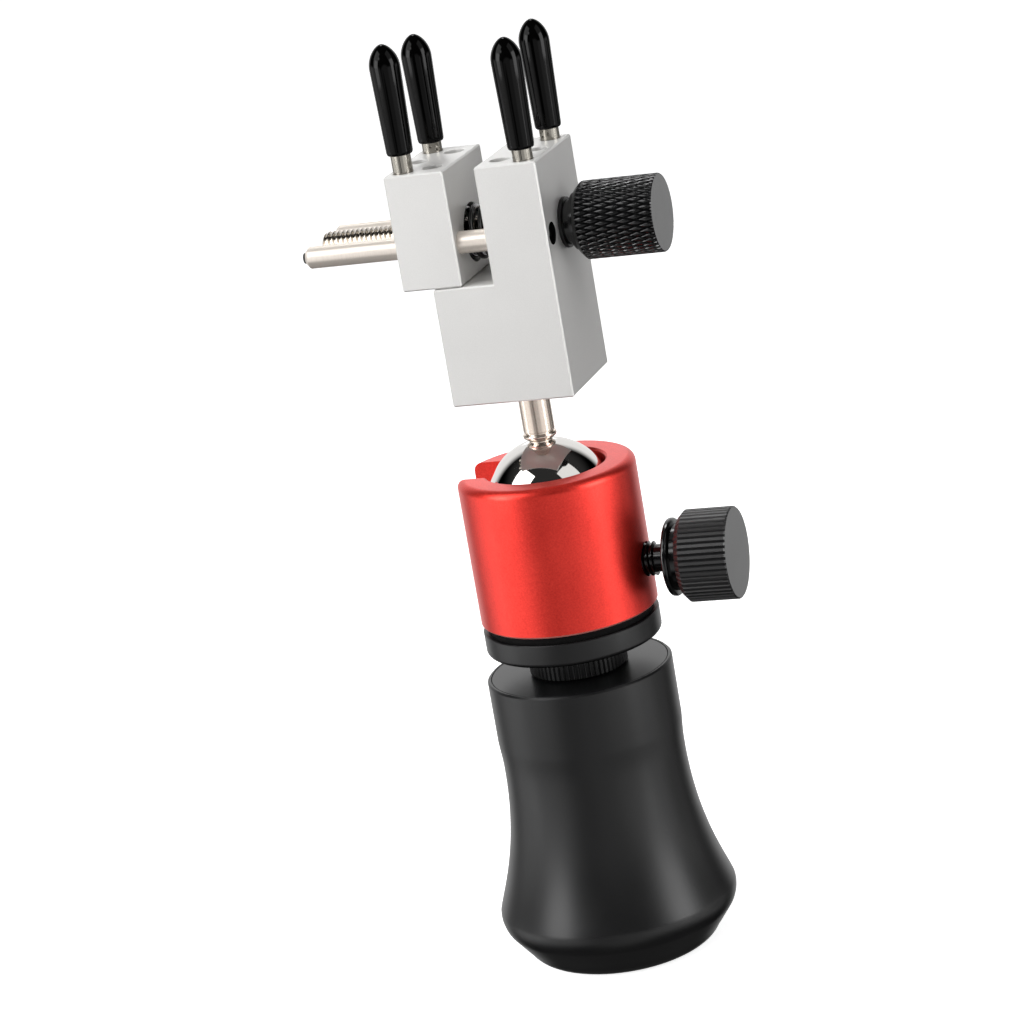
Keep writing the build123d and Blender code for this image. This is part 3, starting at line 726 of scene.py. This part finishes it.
# ---- guide rods and lead screw -------------------------------------------------------------------
rod_outline = [(0, -39.0), (1.05, -39.0), (1.35, -38.4), (1.5, -38.4), (2.2, -37.7), (2.2, 11.2)]
rod_outline += [(1.9, 11.5), (0, 11.5)]
socket_outline = [(0, 12.5), (1.3, 12.5), (1.3, 9.8), (0, 9.8)]
rods = []
for y in (-rod_y, rod_y):
    rods.append(turn_up("rod", rod_outline, (0, y, rod_z), "X", 64))
    cut(rods[-1], turn_up("socket", socket_outline, (0, y, rod_z), "X", 6))
guide_rods = join("guide_rods_ground", rods)
fit(guide_rods, "vise", "guide_rods", nickel_across)
# black oxide: the plug screws in the rods' ends and their seats; at the right ends, sunk in the fixed jaw's
# outer face, the black is partly painted shade of that recess
refinish(guide_rods, oxide_black, lambda at, n: at.x > 11.15 or at.x < -38.35 and from_rod(at) < 1.6)

screw_axis = (0, 0, rod_z)
tip_x, seat_x = -37.5, 12.5
nose_outline = [(0, tip_x), (2.5, tip_x), (3.2, tip_x + 0.7), (3.2, seat_x), (0, seat_x)]
lead_thread = screw_thread("lead_thread", 3.0, 1.0, tip_x, seat_x, rod_z, nose_outline, 32)
shank_outline = [(0, 12.3), (2.95, 12.3), (2.95, 27.85), (0, 27.85)]
shank = turn_up("shank", shank_outline, screw_axis, "X", 64)
lead_screw = join("lead_screw_threaded", [lead_thread, shank])
fit(lead_screw, "screw", "lead_screw", thread_steel)

washer_outline = [(screw_bore, seat_x), (4.9, seat_x), (5, 12.6), (5, 13.2), (4.9, 13.3)]
washer_outline += [(screw_bore, 13.3), (screw_bore, seat_x)]
washer = turn_up("thrust_washer_turned", washer_outline, screw_axis, "X", 64)
fit(washer, "screw", "thrust_washer", acetal_black)

# ---- thumb knob ----------------------------------------------------------------------------------
# a sleeve divided into long cells: their diagonals stay and their sides go, which leaves long diamonds,
# and each diamond rises in three steps
knurl_base = 7.3
knurl_columns = 40
rows = 5
row0, row_long = 13.28, 4.42
sleeve_end = row0 + row_long * rows
thumb_outline = [(0, row0)] + [(knurl_base, row0 + row_long * n) for n in range(rows + 1)]
thumb_outline += [(0, sleeve_end)]
thumb_knob = turn_up("thumb_knob_knurled", thumb_outline, screw_axis, "X", knurl_columns)
pick(thumb_knob)


def on_wall(p):
    """Whether a place in mm is on the sleeve's wall, and not on its end faces."""
    return hypot(p.y, p.z - rod_z) > knurl_base - 0.2


def spot(place):
    """A corner's place in mm, rounded to be looked up."""
    return tuple(round(c, 3) for c in place)


def cell_edge(a, b):
    """Whether an edge is a side of the wall's cells, and not a diagonal or at the sleeve's ends."""
    middle = (a + b) / 2
    inside = row0 + 0.01 < middle.x < sleeve_end - 0.01
    return on_wall(middle) and inside and spot(a) in cell_corners and spot(b) in cell_corners


select_where(thumb_knob, on_wall, "FACE")
bpy.ops.object.mode_set(mode="OBJECT")
cell_corners = {spot(v.co / mm) for v in thumb_knob.data.vertices}
bpy.ops.object.mode_set(mode="EDIT")
bpy.ops.mesh.poke()
select_where(thumb_knob, cell_edge, "EDGE")
bpy.ops.mesh.dissolve_edges(use_verts=False)
select_where(thumb_knob, on_wall, "FACE")
for inward, outward in ((0.08, 0.18), (0.1, 0.16), (0.12, 0.07)):
    bpy.ops.mesh.inset(
        thickness=inward * mm, depth=outward * mm, use_individual=True, use_even_offset=True
    )
shape_outline = [(0, 27.9), (3.03, 27.9), (3.03, 13.3), (4.4, 13.3), (4.4, 14.8), (5.6, 14.8), (5.6, 15.9)]
shape_outline += [(6.7, 15.9), (7.75, 17.0), (7.75, 32.0), (7.5, 32.3), (0, 32.3)]
keep_common(thumb_knob, turn_up("thumb_knob_shape", shape_outline, screw_axis, "X", 120))
tidy_mesh(thumb_knob, 40)
fit(thumb_knob, "screw", "thumb_knob", knob_black)

# ---- jaw spring ----------------------------------------------------------------------------------
coil_x0, coil_x1 = -11.75, 5.35
coil_radius = 5.0
coil_turns = 9
coil_pitch = (coil_x1 - coil_x0) / coil_turns
wire_radius = 0.55
clear_selection()
bpy.ops.mesh.primitive_circle_add(
    vertices=14, radius=wire_radius * mm, location=(coil_x0 * mm, coil_radius * mm, 0), fill_type="NOTHING"
)
jaw_spring = bpy.context.object
jaw_spring.name = "jaw_spring_wound"
bpy.ops.object.transform_apply(location=True, rotation=True)
wind_up(jaw_spring, coil_pitch, coil_turns, 48)
# close the wire's two ends
bpy.ops.mesh.select_mode(type="EDGE")
bpy.ops.mesh.select_all(action="DESELECT")
bpy.ops.mesh.select_non_manifold()
bpy.ops.mesh.edge_face_add()
lift_to(rod_z)
tidy_mesh(jaw_spring, 50)
coat(jaw_spring, wire_black)
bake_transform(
    jaw_spring, "vise", "jaw", start=(coil_x1 * mm, 0, rod_z * mm), end=(coil_x0 * mm, 0, rod_z * mm)
)
# each round of the wire goes by its own middle, so the wire keeps its thickness as the coil is drawn out
for vertex, share in zip(jaw_spring.data.vertices, jaw_spring.data.attributes["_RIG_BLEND"].data):
    at = vertex.co / mm
    phase = atan2(at.z - rod_z, at.y) / (2 * pi)
    middle = coil_x0 + coil_pitch * (round((at.x - coil_x0) / coil_pitch - phase) + phase)
    share.value = min(1, max(0, (coil_x1 - middle) / (coil_x1 - coil_x0)))
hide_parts("jaw_spring")

# ---- pins and caps -------------------------------------------------------------------------------
def cap_outline_from(foot):
    """A dipped cap with its bore, standing on this height."""
    tip = foot + 21.7
    shoulder = tip - 4.6
    bore_top = tip - 3.5
    outline = [(0, bore_top), (1.7, bore_top), (pin_hole, bore_top - 0.3), (pin_hole, foot)]
    outline += curve((2.15, foot), (2.65, foot), (2.65, foot + 0.65), (2.65, foot + 1.3), 8)
    outline += [(2.75, foot + 4.8), (2.85, foot + 9.0), (2.95, foot + 13.0)]
    outline += curve((3.05, shoulder), (3.05, shoulder + 2.65), (1.15, tip), (0, tip), 18)
    return outline


def pin_outline_to(top):
    """A pin with broken edges from the foot of its hole up to this height."""
    foot = jaw_top - pin_depth
    return [(0, foot), (1.9, foot), (2.0, foot + 0.1), (2.0, top - 0.1), (1.9, top), (0, top)]


# each jaw has a front and a rear pin, which show this much between the jaw and the cap
for body, kind, jaw_x, shows in (
    ("vise", "fixed", fixed_outer_x, (2.2, 2.2)), ("jaw", "moving", moving_outer_x, (3.6, 2.0)),
):
    pins = []
    caps = []
    for y, show in zip((-outer_y, outer_y), shows):
        foot = jaw_top + show
        pins.append(turn_up("pin", pin_outline_to(foot + 18.2), (jaw_x, y, 0), "Z", 48))
        caps.append(turn_up("cap", cap_outline_from(foot), (jaw_x, y, 0), "Z", 64))
    fit(join(kind + "_pins_ground", pins), body, kind + "_pins", pin_steel)
    fit(join(kind + "_caps_dipped", caps), body, kind + "_caps", dipped_vinyl)

# ---- nodes of the model that stay, with their own finish -----------------------------------------
for node, finish in (
    ("mounting_stud", bright_steel), ("wave_washer", bright_steel), ("wedge_pin", bright_steel),
    ("ball_seat", acetal_white),
):
    coat(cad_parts[node], finish)

# ---- floor ---------------------------------------------------------------------------------------
clear_selection()
bpy.ops.mesh.primitive_grid_add(x_subdivisions=8, y_subdivisions=8, size=12)
floor = bpy.context.object
floor.name = "floor"
# matt white paper, with a little light of its own that keeps it white up to its edges
paper, paper_tree, paper_shader, paper_place = new_finish(
    "matt_paper", {"Roughness": 0.9, "Emission Color": (1, 1, 1, 1), "Emission Strength": 0.82}
)
fibre = add_node(paper_tree, "ShaderNodeTexNoise", values={"Scale": 400.0}, links={"Vector": paper_place})
paper_tint = add_node(
    paper_tree, "ShaderNodeMix", {"data_type": "RGBA"}, {6: colour("#f6f6f6"), 7: colour("#fbfbfb")},
    {0: fibre.outputs["Fac"]},
)
paper_tree.links.new(paper_tint.outputs[2], paper_shader.inputs["Base Color"])
coat(floor, paper)
floor.visible_glossy = False
floor.visible_diffuse = False

# ---- the room that the pieces mirror -------------------------------------------------------------
bpy.context.scene.view_settings.view_transform = "Standard"
world = bpy.data.worlds.new("studio")
bpy.context.scene.world = world
world.use_nodes = True
studio = world.node_tree
studio.nodes.clear()
way = add_node(studio, "ShaderNodeTexCoord").outputs["Generated"]
rise = add_node(studio, "ShaderNodeSeparateXYZ", links={0: way}).outputs[2]


def ramp(value, low, high, start, end):
    """Light that goes smoothly from one strength to another between two values."""
    return add_node(
        studio, "ShaderNodeMapRange", {"interpolation_type": "SMOOTHSTEP"},
        {1: low, 2: high, 3: start, 4: end}, {0: value},
    ).outputs[0]


def wall(azimuth, height, full, none, bright, beside=0.0):
    """Light round this direction, bright within its full angle and fading to what is beside it."""
    a, e = radians(azimuth), radians(height)
    toward = (sin(a) * cos(e), -cos(a) * cos(e), sin(e))
    near = add_node(studio, "ShaderNodeVectorMath", {"operation": "DOT_PRODUCT"}, {1: toward}, {0: way})
    return ramp(near.outputs["Value"], cos(radians(none)), cos(radians(full)), beside, bright)


# glossy pieces mirror a dark room, put together light by light: the brighter one holds where two meet
mirrored = wall(-60, -13, 28, 52, 1.4)
for operation, light in (
    # a bright table at the left and right, which ends below and at the horizon
    ("MAXIMUM", wall(84, -13, 34, 58, 1.3)),
    ("MULTIPLY", ramp(rise, -0.6, -0.4, 0.0, 1.0)),
    ("MULTIPLY", ramp(rise, -0.05, 0.1, 1.0, 0.0)),
    # a bright wall at the back, the table's near side, the floor and a faint ceiling
    ("MAXIMUM", wall(200, 5, 34, 54, 1.0)),
    ("MAXIMUM", wall(20, -18, 22, 36, 0.72)),
    ("MAXIMUM", wall(0, -90, 30, 50, 0.12)),
    ("MAXIMUM", wall(20, 50, 60, 90, 0.03)),
    # narrow dark gaps, which draw dark bands along the bright pins and the stem
    ("MULTIPLY", wall(3, -15, 4, 9, 0.1, beside=1.0)),
    ("MULTIPLY", wall(120, -15, 6, 12, 0.15, beside=1.0)),
    # narrow bright strips, which draw thin lines along edges and round pieces
    ("MAXIMUM", wall(-72, -15, 2, 4.5, 6.0)),
    ("MAXIMUM", wall(80, -15, 2.5, 5.5, 6.0)),
    ("MAXIMUM", wall(-23, 36, 3, 7, 5.0)),
    ("MAXIMUM", wall(200, 17, 6, 14, 1.5)),
    ("MAXIMUM", wall(200, 58, 4, 9, 12.0)),
):
    mirrored = add_node(
        studio, "ShaderNodeMath", {"operation": operation}, links={0: mirrored, 1: light}
    ).outputs[0]

# matt pieces get an even low light, brighter from below, and the camera sees white
low_light = ramp(rise, -0.5, 0.1, 0.5, 0.18)
white = (1, 1, 1, 1)
glossy = add_node(studio, "ShaderNodeBackground", values={"Color": white}, links={"Strength": mirrored})
even = add_node(studio, "ShaderNodeBackground", values={"Color": white}, links={"Strength": low_light})
seen = add_node(studio, "ShaderNodeBackground", values={"Color": white, "Strength": 1.0})
rays = add_node(studio, "ShaderNodeLightPath")
inside = add_node(
    studio, "ShaderNodeMixShader",
    links={0: rays.outputs["Is Glossy Ray"], 1: even.outputs[0], 2: glossy.outputs[0]},
)
room = add_node(
    studio, "ShaderNodeMixShader",
    links={0: rays.outputs["Is Camera Ray"], 1: inside.outputs[0], 2: seen.outputs[0]},
)
add_node(studio, "ShaderNodeOutputWorld", links={"Surface": room.outputs[0]})


# ---- lamps and camera ----------------------------------------------------------------------------
def softbox(name, azimuth, height, distance, width, tall, power):
    """A soft rectangular lamp at this azimuth from the front, in metres, looking at the ball head."""
    lamp = bpy.data.lights.new(name, "AREA")
    lamp.shape = "RECTANGLE"
    lamp.size = width
    lamp.size_y = tall
    lamp.energy = power
    holder = bpy.data.objects.new(name, lamp)
    bpy.context.scene.collection.objects.link(holder)
    a = radians(azimuth)
    holder.location = (sin(a) * distance, -cos(a) * distance, height)
    look = Vector((0, 0, 0.1)) - holder.location
    holder.rotation_euler = look.to_track_quat("-Z", "Y").to_euler()
    return holder


softbox("left_softbox", -50, height=0.55, distance=0.68, width=0.5, tall=0.85, power=4.6)
softbox("right_softbox", 80, height=0.55, distance=0.68, width=0.5, tall=0.85, power=1.3)
# two fills that glossy pieces don't mirror, and two glows that only they do
front_fill = softbox("front_fill", -15, height=0.42, distance=0.8, width=0.5, tall=0.5, power=1.6)
front_fill.visible_glossy = False
top_fill = softbox("top_fill", 0, height=0.9, distance=0.1, width=0.5, tall=0.5, power=3.0)
top_fill.visible_glossy = False
for name, turn, power in (("left_glow", -45, 2.4), ("right_glow", 80, 3.4)):
    glow = softbox(name, turn, height=0.28, distance=0.75, width=0.35, tall=0.5, power=power)
    glow.visible_diffuse = False

azimuth, elevation, roll = radians(19.71), radians(15.58), radians(-9.88)
look_height, look_left, distance = 0.09472, 0.00813, 0.74094
away = Vector((sin(azimuth) * cos(elevation), -cos(azimuth) * cos(elevation), sin(elevation)))
level = Vector((cos(azimuth), sin(azimuth), 0))
upward = away.cross(level)
right = level * cos(roll) + upward * sin(roll)
above = upward * cos(roll) - level * sin(roll)
target = Vector((0, 0, look_height)) - level * look_left
lens = bpy.data.cameras.new("photo_view")
lens.lens = 130.24
lens.sensor_width = 36
lens.clip_start = 0.05
camera = bpy.data.objects.new("photo_view", lens)
bpy.context.scene.collection.objects.link(camera)
stand = Matrix((right, above, away)).transposed().to_4x4()
stand.translation = target + away * distance
camera.matrix_world = stand
bpy.context.scene.camera = camera
